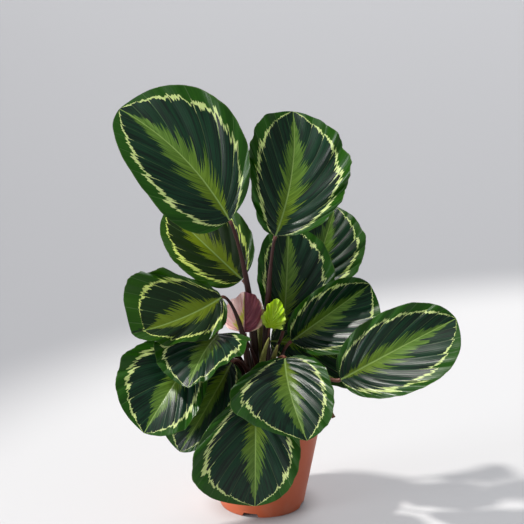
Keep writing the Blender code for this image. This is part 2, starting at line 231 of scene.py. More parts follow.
def make_floor():
    """A wide disc that turns grey far from its pale middle, as painted shade of the wall behind. Its painted
    glow lightens the cast shadows on it and stops under the pot, which leaves a painted contact shadow there.
    """
    shape = bmesh.new()
    bmesh.ops.create_circle(shape, cap_ends=True, segments=96, radius=FLOOR_RADIUS)
    bmesh.ops.translate(shape, verts=shape.verts, vec=POT_AXIS)
    floor = new_worker("floor", shape)
    material, tree, shader = new_material("pale_floor", 0.7)
    place = object_place(tree)
    # Painted shade of the wall behind, growing away from the pale middle.
    painted_wall_shade = place.vector("DISTANCE", PALE_FLOOR_MIDDLE, "Value").above(PALE_FLOOR_RADIUS, PALE_FLOOR_FADE)
    feed(tree, mixed(tree, painted_wall_shade, PALE_FLOOR, PAINTED_WALL_SHADE_GREY), shader.inputs["Base Color"])
    # Painted glow, left off under the pot as a painted contact shadow.
    from_pot = place.vector("DISTANCE", POT_AXIS, "Value")
    glow = from_pot.above(PAINTED_CONTACT_SHADOW_RADIUS, PAINTED_CONTACT_SHADOW_FADE) * PAINTED_FLOOR_GLOW
    feed(tree, glow, shader.inputs["Emission Strength"])
    shader.inputs["Emission Color"].default_value = PAINTED_FLOOR_GLOW_COLOR
    floor.data.materials.append(material)


make_camera()
make_studio()
make_floor()


# The nursery pot is one thin-walled moulding of matt terracotta-coloured polypropylene, tapered so that
# pots stack, with a stiffening collar at its rim and four notches and holes in its foot for water.
POT_HEIGHT = pot_high.z
POT_RIM_RADIUS = (pot_high.x - pot_low.x) / 2
POT_FOOT_RADIUS = 44.5 * MM
POT_WALL = 1.8 * MM
COLLAR_HEIGHT = 15 * MM
COLLAR_STEP = 1.6 * MM
FOOT_HEIGHT = 6 * MM
FOOT_RING_WIDTH = 4 * MM
POT_FLOOR = 2 * MM
FLOOR_CORNER = 2 * MM
LIP_DROP = 1.6 * MM
LIP_RISE = 1.2 * MM
LIP_STEPS = 8
POT_SIDES = 180
NOTCH_COUNT = 4
NOTCH_FIRST_ANGLE = -16
NOTCH_WIDTH_LOW = 19 * MM
NOTCH_WIDTH_HIGH = 14 * MM
NOTCH_HEIGHT = 4.5 * MM
DRAIN_HOLE_RADIUS = 4.5 * MM
DRAIN_HOLE_PLACE = 27 * MM
DRAIN_HOLE_SIDES = 32
SHARP_EDGE_ANGLE = radians(35)
TERRACOTTA = ((0.52, 0.108, 0.034), (0.43, 0.078, 0.023))
POT_DUST = (0.42, 0.24, 0.17)


def noise_at(tree, place, scale, detail=2, roughness=0.5):
    return add_node(tree, "ShaderNodeTexNoise", Vector=place, Scale=scale, Detail=detail, Roughness=roughness)


def bumped(tree, height, distance, strength=1):
    return add_node(tree, "ShaderNodeBump", Strength=strength, Distance=distance, Height=height)


def dress(tree, shader, color, roughness, normal):
    """Give a material's shader what changes over its surface."""
    feed(tree, color, shader.inputs["Base Color"])
    feed(tree, roughness, shader.inputs["Roughness"])
    feed(tree, normal, shader.inputs["Normal"])


def finished(worker, name, node):
    """The worker's modifiers' result as a plain piece, which stands for its CAD node."""
    graph = bpy.context.evaluated_depsgraph_get()
    mesh = bpy.data.meshes.new_from_object(worker.evaluated_get(graph))
    bpy.data.objects.remove(worker)
    piece = add_object(name, mesh)
    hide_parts(node)
    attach(piece, "root")
    return piece


def pot_plastic():
    material, tree, shader = new_material("terracotta_plastic", 0.5)
    place = object_place(tree)
    cloud = noise_at(tree, place, 26, 3)
    color = mixed(tree, cloud, *TERRACOTTA)
    dust = noise_at(tree, place, 9, 5, 0.7).above(0.62, 0.3)
    low = 1 - (place.parts()[2] / POT_HEIGHT).above(0.16, 0.3)
    color = mixed(tree, dust * low * 0.5, color, POT_DUST)
    grain = noise_at(tree, place, 2200, 2)
    dress(tree, shader, color, 0.42 + cloud * 0.2, bumped(tree, grain, 0.05 * MM, 0.35))
    return material


def pot_radius(height):
    """The outer radius of the tapered wall at a height."""
    share = height / POT_HEIGHT
    return POT_FOOT_RADIUS + (POT_RIM_RADIUS - COLLAR_STEP - POT_FOOT_RADIUS) * share


def pot_outline():
    """The wall's section as radius and height, from the inner floor up, over the lip and down to the foot."""
    rim = POT_HEIGHT
    floor = FOOT_HEIGHT + POT_FLOOR
    collar = POT_HEIGHT - COLLAR_HEIGHT
    collar_radius = pot_radius(collar) + COLLAR_STEP
    inner_foot = POT_FOOT_RADIUS - FOOT_RING_WIDTH
    # Its edges are rounded by the fractions of a millimetre in the lists.
    inside = [
        (0, floor),
        (pot_radius(floor) - POT_WALL - FLOOR_CORNER, floor),
        (pot_radius(floor) - POT_WALL, floor + FLOOR_CORNER),
        (pot_radius(collar) - POT_WALL, collar),
        (pot_radius(rim) - POT_WALL, rim - LIP_DROP),
    ]
    lip_radius = (POT_RIM_RADIUS - pot_radius(rim) + POT_WALL) / 2
    lip_middle = POT_RIM_RADIUS - lip_radius
    lip = []
    for i in range(1, LIP_STEPS):
        angle = pi - i * pi / LIP_STEPS
        lip.append((lip_middle + lip_radius * cos(angle), rim - LIP_RISE + LIP_RISE * sin(angle)))
    outside = [
        (POT_RIM_RADIUS, rim - LIP_DROP),
        (collar_radius, collar + 0.9 * MM),
        (collar_radius - 0.5 * MM, collar + 0.2 * MM),
        (pot_radius(collar) + 0.3 * MM, collar),
        (pot_radius(collar), collar - 0.5 * MM),
        (pot_radius(FOOT_HEIGHT), FOOT_HEIGHT),
        (POT_FOOT_RADIUS, 0.9 * MM),
        (POT_FOOT_RADIUS - 0.3 * MM, 0.25 * MM),
        (POT_FOOT_RADIUS - 0.9 * MM, 0),
        (inner_foot + 0.5 * MM, 0),
        (inner_foot, 0.5 * MM),
        (inner_foot, FOOT_HEIGHT),
        (0, FOOT_HEIGHT),
    ]
    return inside + lip + outside


def make_pot():
    shape = bmesh.new()
    outline = [shape.verts.new((radius, 0, height)) for radius, height in pot_outline()]
    rib = [shape.edges.new(pair) for pair in zip(outline, outline[1:])]
    whole_turn = {"cent": (0, 0, 0), "axis": (0, 0, 1), "angle": 2 * pi, "steps": POT_SIDES}
    bmesh.ops.spin(shape, geom=outline + rib, use_merge=True, **whole_turn)
    bmesh.ops.remove_doubles(shape, verts=shape.verts, dist=0.01 * MM)
    bmesh.ops.recalc_face_normals(shape, faces=shape.faces)
    bmesh.ops.translate(shape, verts=shape.verts, vec=POT_AXIS)
    worker = new_worker("pot_worker", shape)
    cutters = []
    for i in range(NOTCH_COUNT):
        angle = radians(NOTCH_FIRST_ANGLE + i * 360 / NOTCH_COUNT)
        turn = Matrix.Translation(POT_AXIS) @ Matrix.Rotation(angle, 4, "Z")
        cutters += [notch_cutter(turn), drain_cutter(turn)]
    for cutter in cutters:
        boolean = worker.modifiers.new("cut", "BOOLEAN")
        boolean.operation = "DIFFERENCE"
        boolean.solver = "EXACT"
        boolean.object = cutter
    worker.data.materials.append(pot_plastic())
    pot = finished(worker, "nursery_pot", "pot")
    for cutter in cutters:
        bpy.data.objects.remove(cutter)
    pot.data.shade_smooth()
    pot.data.set_sharp_from_angle(angle=SHARP_EDGE_ANGLE)


def notch_cutter(turn):
    """A trapezoid block that opens the foot ring from below."""
    shape = bmesh.new()
    bmesh.ops.create_cube(shape, size=1)
    for vert in shape.verts:
        low = vert.co.z < 0
        vert.co.x *= NOTCH_WIDTH_LOW if low else NOTCH_WIDTH_HIGH
        vert.co.y = vert.co.y * 3 * FOOT_RING_WIDTH - POT_FOOT_RADIUS
        vert.co.z = -1 * MM if low else NOTCH_HEIGHT
    bmesh.ops.transform(shape, matrix=turn, verts=shape.verts)
    return new_worker("notch", shape)


def drain_cutter(turn):
    """A round peg that opens the pot's floor just inside a notch."""
    shape = bmesh.new()
    bmesh.ops.create_cone(
        shape,
        cap_ends=True,
        segments=DRAIN_HOLE_SIDES,
        radius1=DRAIN_HOLE_RADIUS,
        radius2=DRAIN_HOLE_RADIUS,
        depth=4 * POT_FLOOR,
    )
    lift = Matrix.Translation((0, -DRAIN_HOLE_PLACE, FOOT_HEIGHT + POT_FLOOR / 2))
    bmesh.ops.transform(shape, matrix=turn @ lift, verts=shape.verts)
    return new_worker("drain", shape)


make_pot()


# The soil is moist potting compost that fills the pot to just under its rim and heaps a little towards
# the clump. Loose crumbs and bits of bark lie over it.
SOIL_EDGE_HEIGHT = 119 * MM
SOIL_MOUND = 9 * MM
SOIL_LUMP = 1.6 * MM
SOIL_RINGS = 60
SOIL_SIDES = 180
SOIL_GAP = 0.3 * MM
CRUMB_SIZE = 1.5 * MM
CRUMBS_PER_M2 = 105000
CRUMB_SEED = 7
CRUMB_DENTS = 1.6
LEAST_CRUMB = 0.35
CRUMB_SPREAD = 1.9
CRUMB_WIDTH = 1.25
CRUMB_DEPTH = 0.7
LUMP_SPACING = 11 * MM
FINE_LUMP = 0.7 * MM
FINE_SPACING = 4 * MM
DAMP_COMPOST = ((0.028, 0.014, 0.009), (0.075, 0.034, 0.021))
BARK_FLECK = (0.16, 0.085, 0.05)
SOIL_EDGE_RADIUS = pot_radius(SOIL_EDGE_HEIGHT) - POT_WALL - SOIL_GAP


def soil_height(x, y):
    """The height of the soil's lumpy top at a place from the pot's axis."""
    share = min(1, sqrt(x * x + y * y) / (pot_radius(SOIL_EDGE_HEIGHT) - POT_WALL))
    lump = noise.noise(Vector((x, y, 0)) / LUMP_SPACING) * SOIL_LUMP * (1 - share**4)
    return SOIL_EDGE_HEIGHT + SOIL_MOUND * (1 - share**2) + lump


def compost():
    material, tree, shader = new_material("compost", 0.9)
    place = object_place(tree)
    grain = noise_at(tree, place, 900, 6, 0.7)
    patch = noise_at(tree, place, 160, 3)
    color = mixed(tree, patch.above(0.5, 0.4), *DAMP_COMPOST)
    color = mixed(tree, grain.above(0.62, 0.2), color, BARK_FLECK)
    dress(tree, shader, color, 0.75 + grain * 0.3, bumped(tree, grain, 0.6 * MM))
    return material


def new_tree(kind, name, inputs, outputs):
    """A node group with named sockets, its inputs as rules by name, and its output node."""
    tree = bpy.data.node_groups.new(name, kind)
    for label, socket_type, value in inputs:
        socket = tree.interface.new_socket(label, in_out="INPUT", socket_type=socket_type)
        if value is not None:
            socket.default_value = value
    for label, socket_type in outputs:
        tree.interface.new_socket(label, in_out="OUTPUT", socket_type=socket_type)
    source = tree.nodes.new("NodeGroupInput")
    rules = {socket.name: Rule(tree, socket) for socket in source.outputs if socket.name}
    return tree, rules, tree.nodes.new("NodeGroupOutput")


def vector_of(tree, x, y, z=0):
    return add_node(tree, "ShaderNodeCombineXYZ", X=x, Y=y, Z=z)


def joined(tree, *pieces):
    """The pieces as one geometry, in their order."""
    node = tree.nodes.new("GeometryNodeJoinGeometry")
    for piece in pieces:
        feed(tree, piece, node.inputs[0])
    return Rule(tree, node.outputs[0])


def realized(tree, geometry, material):
    """The last steps of every tree: plain geometry in its material."""
    plain = add_node(tree, "GeometryNodeRealizeInstances", Geometry=geometry)
    return add_node(tree, "GeometryNodeSetMaterial", Geometry=plain, Material=material)


def crumb_tree():
    """Scatters turned, squashed grains of several sizes over the soil's top."""
    tree, rules, sink = new_tree(
        "GeometryNodeTree",
        "soil_crumbs",
        [
            ("soil", "NodeSocketGeometry", None),
            ("crumb size", "NodeSocketFloat", CRUMB_SIZE),
            ("crumbs per area", "NodeSocketFloat", CRUMBS_PER_M2),
            ("seed", "NodeSocketInt", CRUMB_SEED),
            ("material", "NodeSocketMaterial", None),
        ],
        [("soil", "NodeSocketGeometry")],
    )
    upward = add_node(tree, "GeometryNodeInputNormal").parts()[2].math("GREATER_THAN", 0.5)
    points = add_node(
        tree,
        "GeometryNodeDistributePointsOnFaces",
        Mesh=rules["soil"],
        Selection=upward,
        Density=rules["crumbs per area"],
        Seed=rules["seed"],
    )
    grain = add_node(tree, "GeometryNodeMeshIcoSphere", Radius=0.5, Subdivisions=2)
    place = add_node(tree, "GeometryNodeInputPosition")
    dent = place.vector("SCALE", (noise_at(tree, place, 2.5, 2) - 0.5) * CRUMB_DENTS)
    dented = add_node(tree, "GeometryNodeSetPosition", Geometry=grain, Offset=dent)
    whole_turn = (2 * pi, 2 * pi, 2 * pi)
    vectors = {"data_type": "FLOAT_VECTOR"}
    turn = add_node(tree, "FunctionNodeRandomValue", vectors, Max=whole_turn, Seed=rules["seed"])
    size = add_node(tree, "FunctionNodeRandomValue", {"data_type": "FLOAT"}, Seed=rules["seed"])
    share = Rule(tree, size.socket.node.outputs[1])
    length = rules["crumb size"] * (LEAST_CRUMB + share**4 * CRUMB_SPREAD)
    scattered = add_node(
        tree,
        "GeometryNodeInstanceOnPoints",
        Points=points,
        Instance=dented,
        Rotation=turn,
        Scale=vector_of(tree, length * CRUMB_WIDTH, length, length * CRUMB_DEPTH),
    )
    result = realized(tree, joined(tree, rules["soil"], scattered), rules["material"])
    feed(tree, result, sink.inputs[0])
    return tree


def add_tree(worker, tree, **values):
    """Put the tree on the worker with its named inputs set, before the worker is first evaluated."""
    modifier = worker.modifiers.new(tree.name, "NODES")
    modifier.node_group = tree
    for item in tree.interface.items_tree:
        label = item.name.replace(" ", "_")
        if item.in_out == "INPUT" and label in values:
            modifier[item.identifier] = values[label]


def make_soil():
    shape = bmesh.new()
    angles = [2 * pi * j / SOIL_SIDES for j in range(SOIL_SIDES)]
    rings = []
    for i in range(1, SOIL_RINGS + 1):
        radius = SOIL_EDGE_RADIUS * i / SOIL_RINGS
        ring = []
        for angle in angles:
            x, y = radius * cos(angle), radius * sin(angle)
            fine = noise.fractal(Vector((x, y, 0)) / FINE_SPACING, 1, 2, 4) * FINE_LUMP
            height = soil_height(x, y) + (fine if i < SOIL_RINGS else 0)
            ring.append(shape.verts.new((x, y, height)))
        rings.append(ring)
    middle = shape.verts.new((0, 0, soil_height(0, 0)))
    low = FOOT_HEIGHT + POT_FLOOR + SOIL_GAP
    low_radius = pot_radius(low) - POT_WALL - SOIL_GAP - FLOOR_CORNER
    foot = []
    for angle in angles:
        foot.append(shape.verts.new((low_radius * cos(angle), low_radius * sin(angle), low)))
    rings.append(foot)
    for j in range(SOIL_SIDES):
        following = (j + 1) % SOIL_SIDES
        shape.faces.new((middle, rings[0][j], rings[0][following]))
        for inner, outer in zip(rings, rings[1:]):
            shape.faces.new((inner[j], outer[j], outer[following], inner[following]))
    shape.faces.new(list(reversed(foot)))
    bmesh.ops.recalc_face_normals(shape, faces=shape.faces)
    bmesh.ops.translate(shape, verts=shape.verts, vec=POT_AXIS)
    worker = new_worker("soil_worker", shape)
    add_tree(worker, crumb_tree(), material=compost())
    soil = finished(worker, "soil_heap", "soil")
    soil.data.shade_smooth()


make_soil()


# The grown leaves. Each blade is one thin sheet with a stout midrib, pleated between its side veins: dark
# blue-green on top, with a feathered light middle and a pale jagged ring, and maroon underneath. Its form
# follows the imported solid's own formula, and a few edges are refined by some millimetres.
OUTLINE_ROUNDNESS = 0.8
TIP_POINT = 0.035
LEAST_ROLL = 0.001
BLADE_THICKNESS = 0.5 * MM
WELD_DISTANCE = 0.004 * MM
RIB_RADIUS = 1.15 * MM
RIB_STEPS = 48
RIB_SIDES = 14
PLEATS = 9
PLEAT_LIFT = 3.2
WANDER_LIFT = 3 * MM
STEPS_ALONG = 132
STEPS_ACROSS = 30
FINE_VEINS = 70
RING_PLACE = 0.77
RING_JAGS = 0.2
FEATHER_REACH = 0.31
DARK_GREEN = ((0.004, 0.03, 0.009), (0.009, 0.044, 0.025))
DARK_STREAK = (0.003, 0.012, 0.007)
BAND_GREEN = ((0.006, 0.045, 0.0015), (0.024, 0.105, 0.004))
FEATHER_GREEN = ((0.065, 0.135, 0.014), (0.14, 0.25, 0.045))
FEATHER_FOOT = ((0.08, 0.14, 0.003), (0.18, 0.26, 0.008))
RING_CREAM = ((0.44, 0.55, 0.16), (0.78, 0.85, 0.44))
CREASE_LINE = (0.12, 0.2, 0.09)
MIDRIB_GREEN = (0.25, 0.37, 0.1)
LEAF_RIM = (0.1, 0.16, 0.04)
# Painted backlight: warmer greens painted on the leaves that the sun shines through.
PAINTED_BACKLIT_DARK = (0.009, 0.025, 0.004)
PAINTED_BACKLIT_BAND = (0.025, 0.08, 0.002)
PAINTED_BACKLIT_FEATHER = (0.16, 0.21, 0.004)
PAINTED_BACKLIT_RING = (0.75, 0.85, 0.1)
LEAF_GLOW = (1.4, 2.1, 0.2)
MAROON_UNDERSIDE = ((0.07, 0.018, 0.04), (0.17, 0.045, 0.085))
UNDERSIDE_EDGE = (0.12, 0.09, 0.05)
UNDERSIDE_MIDDLE = (0.16, 0.17, 0.06)
UNDERSIDE_GLOW = (0.42, 0.5, 0.12, 1)
RIB_COLORS = ((0.17, 0.19, 0.06), (0.24, 0.13, 0.09))
LIGHT_THROUGH = 0.35
# Leaves c and h get painted backlight, a warmer green where the sun shines through them.
GROWN_LEAVES = {
    "a": dict(
        root=(-7, 5), base=(-33, 0, 306), tip=(-146, 40, 414), faces=(-0.1, -1, 0.15),
        left=57, right=68, bow=12, egg_left=0.2, egg_right=-0.07, fold_left=33, fold_right=4, arch=4,
        ragged=0.05, stalk_foot=3.4, stalk_top=2.1, pleat=0.4,
    ),
    "b": dict(
        root=(4, 4), base=(14, 5, 289), tip=(32, 50, 410), faces=(0.1, -1, 0.3),
        left=46, right=65, bow=7, egg_left=-0.27, roll_right=38, wave=4.5, waves=5, ragged=0.28,
        stalk_foot=3.3, stalk_top=2.0,
    ),
    "c": dict(
        root=(-9, 14), base=(-21, 35, 235), tip=(-101, 70, 304), faces=(-0.1, -1, 0.3),
        left=36, right=50, phase=0.3, painted_backlight=1, plume=1.1, pleat=0.5,
    ),
    "d": dict(
        root=(9, 10), base=(22, 12, 186), tip=(28, 48, 290), faces=(0.2, -1, 0.2),
        left=33, right=51, egg_left=-0.2, fold_right=8, roll_right=28, arch=4,
    ),
    "e": dict(
        root=(9, 37), base=(49, 56, 219), tip=(79, 92, 302), faces=(0.2, -1, 0.3),
        left=44, right=48, roll_right=38, phase=0.6,
    ),
    "f": dict(
        root=(18, 0), base=(31, 4, 177), tip=(112, 15, 235), faces=(0.2, -1, 0.5),
        left=38, right=53, fold_left=45, fold_right=14, roll_right=34, egg_right=-0.25, arch=3,
    ),
    "g": dict(
        root=(15, -12), base=(80, -38, 149), tip=(196, -30, 211), faces=(0.2, -1, 0.6),
        left=40, right=53, fold_right=14, roll_right=24, egg_right=-0.15, stalk_top=2.0,
    ),
    "h": dict(
        root=(-13, -14), base=(-41, -22, 231), tip=(-128, -69, 207), faces=(-0.1, -1, 0.6),
        left=31, right=52, bow=-6, egg_left=0.3, egg_right=-0.5, wave=4.5, waves=4, arch=4,
        ragged=0.25, painted_backlight=0.7, plume=1.3, ends=0.87, pleat=0.6,
    ),
    "i": dict(
        root=(-16, -2), base=(-44, -33, 196), tip=(-72, -95, 160), faces=(-0.45, -1, 0.8),
        left=43, right=49, egg_left=0.45, wave=3, arrival=(0.85, -0.35, -0.25), reach=36,
    ),
    "j": dict(
        root=(-20, -9), base=(-65, -36, 177), tip=(-116, -90, 111), faces=(-0.3, -1, 0.5),
        left=39, right=57, roll_right=16, egg_left=-0.3, phase=0.2,
    ),
    "k": dict(
        root=(6, -14), base=(23, -40, 172), tip=(43, -128, 118), faces=(0.1, -1, 0.9),
        left=42, right=62, bow=5, roll_right=20, egg_right=-0.52, wave=1.5,
    ),
    "l": dict(
        root=(-2, -20), base=(-6, -80, 146), tip=(-7, -104, 40), faces=(0, -1, 0.3),
        left=45, right=60, egg_right=-0.32, wave=1.2, plume=0.85, pleat=0.5,
    ),
    "m": dict(
        root=(-3, 27), base=(9, 29, 169), tip=(136, 34, 155), faces=(0.1, -1, 0.5),
        left=42, right=43, egg_left=0.3, egg_right=-0.35, arch=4, reach=6,
    ),
    "n": dict(
        root=(-10, -20), base=(-31, -32, 165), tip=(-82, -74, 85), faces=(-0.5, -1, 0.2),
        left=30, right=44, bow=-6, arch=12,
    ),
}
# What a leaf has where its entry above says nothing
USUAL_LEAF = dict(
    arch=6, bow=0, fold_left=12, fold_right=12, roll_left=0, roll_right=0, egg_left=0, egg_right=0,
    wave=2.2, waves=3.5, phase=0, rise=0.55, reach=12, arrival=None, stalk_foot=3.0, stalk_top=1.8, pleat=1.0,
    ragged=0.12, painted_backlight=0, plume=1, ends=1,
)
BLADE_VECTORS = ("base", "tip", "faces")
BLADE_LENGTHS = ("left", "right", "arch", "bow", "wave", "pleat")
BLADE_ANGLES = ("fold_left", "fold_right", "roll_left", "roll_right")
BLADE_SHARES = ("egg_left", "egg_right", "waves", "phase", "ragged", "painted_backlight", "plume", "ends", "number")


def picked(is_right, left, right):
    return left + (right - left) * is_right


def margin_of(share):
    """How far along the blade its edge is, for a share of the way round from base to tip."""
    return (1 - (share * pi).math("COSINE")) * ((1 - TIP_POINT) / 2) + share**10 * TIP_POINT


def stored(tree, geometry, name, value, data_type="FLOAT_VECTOR", domain="POINT"):
    """The geometry with a value kept under a name, which the materials read."""
    kind = {"data_type": data_type, "domain": domain}
    return add_node(tree, "GeometryNodeStoreNamedAttribute", kind, Geometry=geometry, Name=name, Value=value)


def with_skin(tree, geometry, number):
    """The geometry with its faces marked as upper face 0, underside 1 or midrib 2."""
    return stored(tree, geometry, "skin", number, "FLOAT", "FACE")


def unit_line(tree, count):
    """A straight row of points, whose x goes from 0 to 1."""
    line = add_node(tree, "GeometryNodeCurvePrimitiveLine", End=(1, 0, 0))
    return add_node(tree, "GeometryNodeResampleCurve", Curve=line, Count=count)


def rod_along(tree, line, place, radius, sides):
    """A closed round rod through the line's points, each moved to its place and given its radius."""
    sized = add_node(tree, "GeometryNodeSetCurveRadius", Curve=line, Radius=radius)
    laid = add_node(tree, "GeometryNodeSetPosition", Geometry=sized, Position=place)
    ring = add_node(tree, "GeometryNodeCurvePrimitiveCircle", Resolution=sides, Radius=1.0)
    own = add_node(tree, "GeometryNodeInputRadius")
    return add_node(
        tree, "GeometryNodeCurveToMesh", Curve=laid, Profile_Curve=ring, Scale=own, Fill_Caps=True
    )


def blade_tree():
    """A blade from its base, tip and half widths: a grid whose rows are the side veins, bent to shape."""
    inputs = [("grid", "NodeSocketGeometry", None)]
    inputs += [(name, "NodeSocketVector", None) for name in BLADE_VECTORS]
    inputs += [(name, "NodeSocketFloat", None) for name in BLADE_LENGTHS + BLADE_ANGLES + BLADE_SHARES]
    inputs += [(name, "NodeSocketMaterial", None) for name in ("upper", "under", "rib")]
    tree, leaf, sink = new_tree("GeometryNodeTree", "blade", inputs, [("blade", "NodeSocketGeometry")])
    place = add_node(tree, "GeometryNodeInputPosition")
    forward = leaf["tip"].vector("SUBTRACT", leaf["base"]).vector("NORMALIZE")
    length = leaf["tip"].vector("DISTANCE", leaf["base"], "Value")
    ahead = leaf["faces"].vector("DOT_PRODUCT", forward, "Value")
    up = leaf["faces"].vector("SUBTRACT", forward.vector("SCALE", ahead)).vector("NORMALIZE")
    side = forward.vector("CROSS_PRODUCT", up)

    def midrib(along):
        """The place on the midrib at a share of the blade's length."""
        hump = along * (1 - along) * 4
        spot = leaf["base"].moved(forward, length * along)
        return spot.moved(up, leaf["arch"] * hump).moved(side, leaf["bow"] * hump)

    # The grid's x runs from edge to edge and its y from base to tip. Veins are even steps of y: they
    # start close together near the base, leave the midrib at a slant and end further towards the tip.
    x, y, _ = place.parts()
    is_right = x.math("GREATER_THAN", 0)
    wide = x.math("ABSOLUTE")
    across = wide * wide * (3 - wide * 2)
    vein = y + 0.5
    start = vein * (0.05 + vein**1.5 * 0.95)
    edge = 1 - (1 - vein).math("MAXIMUM", 0) ** 1.6
    along = start + (margin_of(edge) - start) * across**1.4
    roundness = (edge * pi).math("SINE").math("MAXIMUM", 0) ** OUTLINE_ROUNDNESS
    egg = 1 + picked(is_right, leaf["egg_left"], leaf["egg_right"]) * (edge * pi).math("COSINE")
    half = picked(is_right, leaf["left"], leaf["right"])
    ragged = noise_at(tree, vector_of(tree, edge * 11, is_right * 7 + leaf["number"] * 5), 1, 2) - 0.5
    width = half * roundness * egg * across * (1 + leaf["ragged"] * ragged * across**3)

    # Each half leaves the midrib at its fold angle and rolls evenly by its roll angle out to the edge.
    fold = picked(is_right, leaf["fold_left"], leaf["fold_right"])
    roll = picked(is_right, leaf["roll_left"], leaf["roll_right"]) * across + LEAST_ROLL
    outward = side.vector("SCALE", is_right * 2 - 1)
    turned = fold + roll
    out_share = (turned.math("SINE") - fold.math("SINE")) / roll
    up_share = (fold.math("COSINE") - turned.math("COSINE")) / roll
    spread = outward.vector("SCALE", out_share).moved(up, up_share)

    # The edge waves, the pleats stand up between their creases, and the whole sheet wanders a little.
    phase = leaf["phase"] + is_right * 0.37
    ripple = ((leaf["waves"] * edge + phase) * (2 * pi)).math("SINE")
    ripple += ((leaf["waves"] * edge * 1.7 + phase * 2.3) * (2 * pi)).math("SINE") * 0.5
    lift = leaf["wave"] * ripple * across**3 * roundness
    crest = (vein * (PLEATS * pi)).math("SINE").math("ABSOLUTE") - 0.6
    lift += leaf["pleat"] * crest * (across * (1.6 - across)) * roundness * PLEAT_LIFT
    wander = noise_at(tree, vector_of(tree, vein * 3, x * 2, leaf["number"] * 5), 1, 2) - 0.5
    lift += wander * roundness * across * WANDER_LIFT

    spot = midrib(along).moved(spread, width).moved(up, lift)

    # The materials read how far out a place is, from 0 on the midrib to 1 on the edge beside it.
    flat = 1 - along / (1 - TIP_POINT + along**18 * TIP_POINT) * 2
    outline = (1 - flat * flat).math("MAXIMUM", 0.0005) ** (OUTLINE_ROUNDNESS / 2)
    outline *= 1 + picked(is_right, leaf["egg_left"], leaf["egg_right"]) * flat
    reach = (roundness * egg * across / outline).math("MINIMUM", 1)
    signed = across * (is_right * 2 - 1)

    sheet = stored(tree, leaf["grid"], "vein", vector_of(tree, vein, signed, reach))
    sheet = stored(tree, sheet, "leaf", vector_of(tree, along, width, leaf["number"]))
    sheet = stored(tree, sheet, "marks", vector_of(tree, leaf["painted_backlight"], leaf["plume"], leaf["ends"]))
    top = add_node(tree, "GeometryNodeSetPosition", Geometry=sheet, Position=spot)

    # The underside is the same sheet turned over and let down, and meets the upper face along the edge.
    vectors = {"data_type": "FLOAT_VECTOR"}
    kept = add_node(tree, "GeometryNodeInputNamedAttribute", vectors, Name="vein")
    kept_vein, kept_across, _ = kept.parts()
    thick = 1 - kept_across.math("ABSOLUTE") ** 12
    thick *= (kept_vein * 25).math("MINIMUM", 1) * ((1 - kept_vein) * 25).math("MINIMUM", 1)
    down = add_node(tree, "GeometryNodeInputNormal").vector("SCALE", thick * -BLADE_THICKNESS)
    below = add_node(tree, "GeometryNodeSetPosition", Geometry=top, Offset=down)
    below = add_node(tree, "GeometryNodeFlipFaces", Mesh=below)
    faces = joined(tree, with_skin(tree, top, 0.0), with_skin(tree, below, 1.0))
    closed = add_node(tree, "GeometryNodeMergeByDistance", Geometry=faces, Distance=WELD_DISTANCE)

    # The midrib stands out under the blade as a rod that thins towards the tip.
    along_rib = place.parts()[0]
    rib_radius = (1.02 - along_rib) ** 0.8 * RIB_RADIUS
    rib_spot = midrib(along_rib).moved(up, rib_radius * -1.05)
    rod = rod_along(tree, unit_line(tree, RIB_STEPS), rib_spot, rib_radius, RIB_SIDES)
    whole = joined(tree, closed, with_skin(tree, rod, 2.0))
    smooth = add_node(tree, "GeometryNodeSetShadeSmooth", Geometry=whole)
    covered = realized(tree, smooth, leaf["upper"])
    skin = add_node(tree, "GeometryNodeInputNamedAttribute", {"data_type": "FLOAT"}, Name="skin")
    for edge_number, name in ((0.5, "under"), (1.5, "rib")):
        covered = add_node(
            tree,
            "GeometryNodeSetMaterial",
            Geometry=covered,
            Selection=skin.math("GREATER_THAN", edge_number),
            Material=leaf[name],
        )
    feed(tree, covered, sink.inputs[0])
    return tree


def attribute_rule(tree, name):
    node = tree.nodes.new("ShaderNodeAttribute")
    node.attribute_name = name
    return Rule(tree, node.outputs["Vector"])


def vein_group():
    """Fine parallel side veins: a light and dark streak, and the height of their ridges."""
    tree, rules, sink = new_tree(
        "ShaderNodeTree",
        "side_veins",
        [
            ("Vein", "NodeSocketFloat", 0),
            ("Across", "NodeSocketFloat", 0),
            ("Veins", "NodeSocketFloat", FINE_VEINS),
            ("Number", "NodeSocketFloat", 0),
        ],
        [("Streak", "NodeSocketFloat"), ("Height", "NodeSocketFloat")],
    )
    place = vector_of(tree, rules["Vein"] * rules["Veins"], rules["Across"] * 1.5, rules["Number"] * 9)
    streak = noise_at(tree, place, 1.3, 2, 0.6)
    ridge = (rules["Vein"] * rules["Veins"] * (2 * pi)).math("SINE") * 0.5 + 0.5
    feed(tree, streak, sink.inputs["Streak"])
    feed(tree, ridge * 0.6 + streak, sink.inputs["Height"])
    return tree


side_veins = vein_group()


def with_veins(tree, vein, across, number, veins=FINE_VEINS):
    """The streak and the ridge height of the fine veins, in a material's own tree."""
    node = tree.nodes.new("ShaderNodeGroup")
    node.node_tree = side_veins
    for label, value in (("Vein", vein), ("Across", across), ("Veins", veins), ("Number", number)):
        feed(tree, value, node.inputs[label])
    return Rule(tree, node.outputs["Streak"]), Rule(tree, node.outputs["Height"])


def let_light_through(tree, shader, color, share):
    """Mix the shader with light that comes through the thin leaf from behind."""
    through = add_node(tree, "ShaderNodeBsdfTranslucent", Color=color)
    both = tree.nodes.new("ShaderNodeMixShader")
    both.inputs[0].default_value = share
    tree.links.new(shader.outputs[0], both.inputs[1])
    tree.links.new(through.socket, both.inputs[2])
    tree.links.new(both.outputs[0], tree.nodes["Material Output"].inputs["Surface"])


